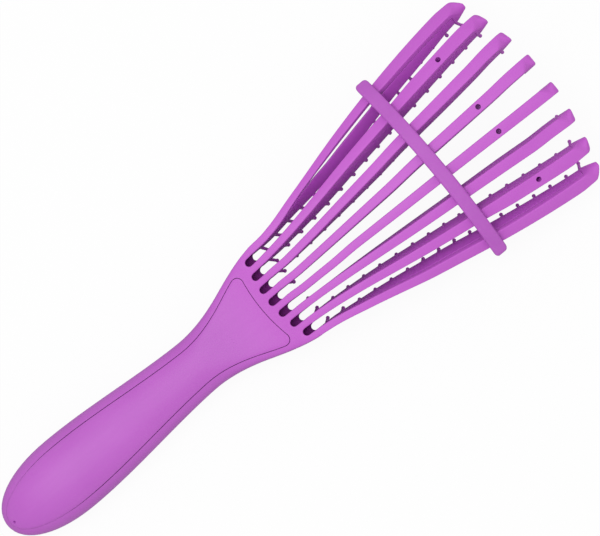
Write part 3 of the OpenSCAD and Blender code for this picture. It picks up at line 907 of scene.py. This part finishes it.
def pin_rings(n, place, lean):
    """A slim pin with a small foot where it leaves the strip and a ball at its end."""
    u = lane_share(n)
    side = side_of(n)
    s = min(place, tip_at(n) - hook_length - end_gap - pin_root)
    tilt, depth = arm_tilt(u, s), arm_depth(s) - finger_edge
    climb = back_z(s + finger_edge) - back_z(s - finger_edge)
    swell = pin_rake_swell * math.sin(math.pi * held((s - rake_from) / rake_over)) ** 2
    rise = math.atan(max(0, climb) / (2 * finger_edge)) + math.radians(pin_rake + swell)
    rise += (place - s) / pin_length
    across = -pin_shift * pull(n, s) - foot_inwards(n, s)
    y = arm_y(u, s) + along_arm(out_of_line, n, s)
    root = Vector((s, side * (y + across * math.cos(tilt) - depth * math.sin(tilt)),
                   arm_z(u, s) - across * math.sin(tilt) - depth * math.cos(tilt)))
    down = Vector((math.cos(lean) * math.sin(rise), -side * math.sin(lean), -math.cos(lean) * math.cos(rise)))
    ball = pin_length - pin_ball + finger_edge
    profile = [(along, pin_root + extra) for along, extra in pin_foot]
    profile.append((ball * pin_taper_share, mix(pin_root, pin_neck, pin_taper_share)))
    profile += [(ball - along, pin_neck + extra) for along, extra in pin_waist]
    turns = [math.radians(turn) for turn in pin_ball_turns]
    profile += [(ball + pin_ball * math.sin(a), pin_ball * math.cos(a)) for a in turns]
    return round_bar([(root + down * along, down, radius) for along, radius in profile], sides=14)


def add_to(made, other):
    """Puts the second mesh into the first."""
    form = bmesh.new()
    form.from_mesh(made.data)
    form.from_mesh(other.data)
    form.to_mesh(made.data)
    form.free()
    bpy.data.objects.remove(other)


for n in arms:
    first = slot_ends_at + first_pin_run + outer_first_lag * outward(n) ** pin_row_growth
    last = tip_at(n) - mix(last_pin_gap, outer_last_gap, outward(n) ** pin_row_growth)
    strip = piece("pin_row_%d" % n, [strip_rings(n)])
    if n in peg_arms:
        carve(strip, hole_cutter(n, second_row_at, arm_tilt(lane_share(n), second_row_at), strip_hole_deep))
    places = [mix(first, last, i / (pins_on_strip - 1)) for i in range(pins_on_strip)]
    add_to(strip, piece("pins", [pin_rings(n, s, pin_lean(n, s, first, last)) for s in places]))
    dress(strip, comb_plastic, "comb_plastic", None, "pin_strip_%d" % n)
    bend_with_arm(strip, n)

# Strap
# A soft elastomer band of the same purple, laid over the arch of the arms and held by four round pegs in
# their holes. Its ends reach past the outermost arms and are rounded.
strap_width, strap_thickness, strap_reach = 5.0, 2.4, 4.0
strap_gap = 0.35
strap_corner = 1.3
strap_edge, strap_edge_share = 0.8, 0.8
peg_profile = ((1.2, 0.92), (-1.75, 0.92), (-2.04, 0.7))  # height over the arm's back, and radius
strap_end = 1 + strap_reach / arm_y(1, strap_at)
strap_half_rows, strap_end_rows = 30, 7


def strap_ring(u):
    """One cross-section of the strap, at a share of the fan's half width."""
    s = strap_at - strap_bow * u * u
    tilt = math.copysign(arm_tilt(abs(u), s), u)
    left = (strap_end - abs(u)) * arm_y(1, s)
    pinch = corner_loss(1 - left / strap_corner, strap_corner)
    tuck = corner_loss(1 - left / strap_edge, strap_edge) * strap_edge_share
    points = rounded(-strap_width / 2 + pinch, strap_width / 2 - pinch, strap_gap + tuck,
                     strap_gap + strap_thickness - tuck, *[strap_edge - tuck] * 3)
    y = math.copysign(arm_y(abs(u), s), u) if u else 0
    return [(s + p, y + q * math.sin(tilt), arm_z(abs(u), s) + q * math.cos(tilt)) for p, q in points]


edge_u = strap_end - strap_corner / arm_y(1, strap_at)
one_side = [edge_u * i / strap_half_rows for i in range(1, strap_half_rows + 1)]
turns = [math.pi / 2 * i / strap_end_rows for i in range(1, strap_end_rows + 1)]
one_side += [mix(edge_u, strap_end, math.sin(a)) for a in turns]
strap_sheets = [[strap_ring(u) for u in [-v for v in reversed(one_side)] + [0] + one_side]]
for n in peg_arms:
    u = lane_share(n)
    s = strap_at - strap_bow * u * u
    y, z = arm_y(u, s) * side_of(n), arm_z(u, s)
    strap_sheets.append(round_bar([((s, y, z + h), (0, 0, 1), r) for h, r in peg_profile], sides=24))
band = piece("soft_band", strap_sheets)

strap_deep = (0.48, 0.105, 0.545, 1)
strap_bright = (0.58, 0.15, 0.64, 1)
bloom_scale, skin_scale, skin_height = 90, 3200, 0.015 * mm


def soft_finish():
    """Matt elastomer: flatter than the plastic, with a faint bloom and a coarser skin."""
    finish = Finish("soft_strap")
    place = finish.add("ShaderNodeTexCoord")["Object"]
    bloom = finish.noise(place, bloom_scale, 4, 0.6)
    skin = finish.noise(place, skin_scale, 3, 0.6)
    colour = finish.blend(bloom * 0.8 + skin * 0.2, strap_deep, strap_bright)
    rough = 0.56 + (bloom - 0.5) * 0.1 + (skin - 0.5) * 0.1
    bump = finish.add("ShaderNodeBump", None, {"Height": skin, "Strength": 0.4, "Distance": skin_height})
    body = finish.add("ShaderNodeBsdfPrincipled", None, {
        "Base Color": colour, "Roughness": rough, "Normal": bump["Normal"], "IOR": 1.43,
        "Specular IOR Level": 0.4, "Subsurface Weight": 0.15, "Subsurface Scale": glow_depth,
        "Subsurface Radius": purple_glow})
    finish.add("ShaderNodeOutputMaterial", None, {"Surface": body["BSDF"]})
    return finish.material


dress(band, soft_finish(), "soft_strap", "strap", "strap")

# Floor, light and camera
# A plain pale floor under the brush, a pale room with one soft lamp above, and a camera that looks
# straight down on the back.
half_floor, floor_drop = 3.0, 0.0004
floor_corners = [(-half_floor, -half_floor, 0), (half_floor, -half_floor, 0),
                 (half_floor, half_floor, 0), (-half_floor, half_floor, 0)]
floor_mesh = bpy.data.meshes.new("floor")
floor_mesh.from_pydata(floor_corners, [], [(0, 1, 2, 3)])
floor = bpy.data.objects.new("floor", floor_mesh)
floor.location.z = -floor_drop
bpy.context.scene.collection.objects.link(floor)
paper_grey, paper_white, white = (0.55, 0.55, 0.55, 1), (0.95, 0.95, 0.95, 1), (1, 1, 1, 1)
paper_glow_share = 0.93


def white_paper():
    """Pale paper that the camera sees as white, with the shadow kept."""
    finish = Finish("white_paper")
    seen = finish.add("ShaderNodeLightPath")["Is Camera Ray"]
    tone = finish.blend(seen, paper_grey, paper_white)
    paper = finish.add("ShaderNodeBsdfDiffuse", None, {"Color": tone})
    glow = finish.add("ShaderNodeEmission", None, {"Color": white, "Strength": 1.0})
    shown = finish.add("ShaderNodeMixShader", None,
                       {0: seen * paper_glow_share, 1: paper["BSDF"], 2: glow["Emission"]})
    finish.add("ShaderNodeOutputMaterial", None, {"Surface": shown["Shader"]})
    return finish.material


floor_mesh.materials.append(white_paper())

room_light, backdrop_light = 0.63, 1.0
world = bpy.data.worlds.new("studio")
world.use_nodes = True
sky = world.node_tree
sky.nodes.clear()
ray = sky.nodes.new("ShaderNodeLightPath")
choose = sky.nodes.new("ShaderNodeMixShader")
sky.links.new(ray.outputs["Is Camera Ray"], choose.inputs[0])
for entry, strength in ((1, room_light), (2, backdrop_light)):
    shade = sky.nodes.new("ShaderNodeBackground")
    shade.inputs["Color"].default_value = white
    shade.inputs["Strength"].default_value = strength
    sky.links.new(shade.outputs[0], choose.inputs[entry])
out = sky.nodes.new("ShaderNodeOutputWorld")
sky.links.new(choose.outputs[0], out.inputs["Surface"])
bpy.context.scene.world = world

lamp_place, lamp_target = Vector((-0.12, 0.16, 1.08)), Vector((0, 0, 0.012))
lamp_size, lamp_power = 0.6, 4.3
light = bpy.data.lights.new("key_light", "AREA")
light.shape, light.size, light.size_y = "RECTANGLE", lamp_size, lamp_size
light.energy = lamp_power
lamp = bpy.data.objects.new("key_light", light)
lamp.location = lamp_place
lamp.rotation_euler = (lamp_target - lamp_place).to_track_quat("-Z", "Y").to_euler()
bpy.context.scene.collection.objects.link(lamp)

photo_middle = Vector((0.01341, 0.00277, 0.018))
photo_turn = math.radians(40.11)
photo_pixels, pixels_per_mm = 600, 2.927
photo_width = photo_pixels / pixels_per_mm * mm
camera_distance, camera_reach, sensor_width = 3.0, 20, 36
camera_roll = math.radians(1.6)
lens = bpy.data.cameras.new("camera")
lens.sensor_fit, lens.sensor_width = "HORIZONTAL", sensor_width
lens.lens = sensor_width * camera_distance / photo_width
lens.clip_end = camera_reach
camera = bpy.data.objects.new("camera", lens)
stand = Vector((0, -math.sin(camera_roll), math.cos(camera_roll)))
camera.location = photo_middle + stand * camera_distance
up = Vector((math.sin(photo_turn), math.cos(photo_turn), 0))
right = up.cross(stand).normalized()
up = stand.cross(right)
camera.rotation_euler = Matrix((right, up, stand)).transposed().to_euler()
bpy.context.scene.collection.objects.link(camera)
bpy.context.scene.camera = camera

bpy.context.scene.view_settings.view_transform = "Standard"
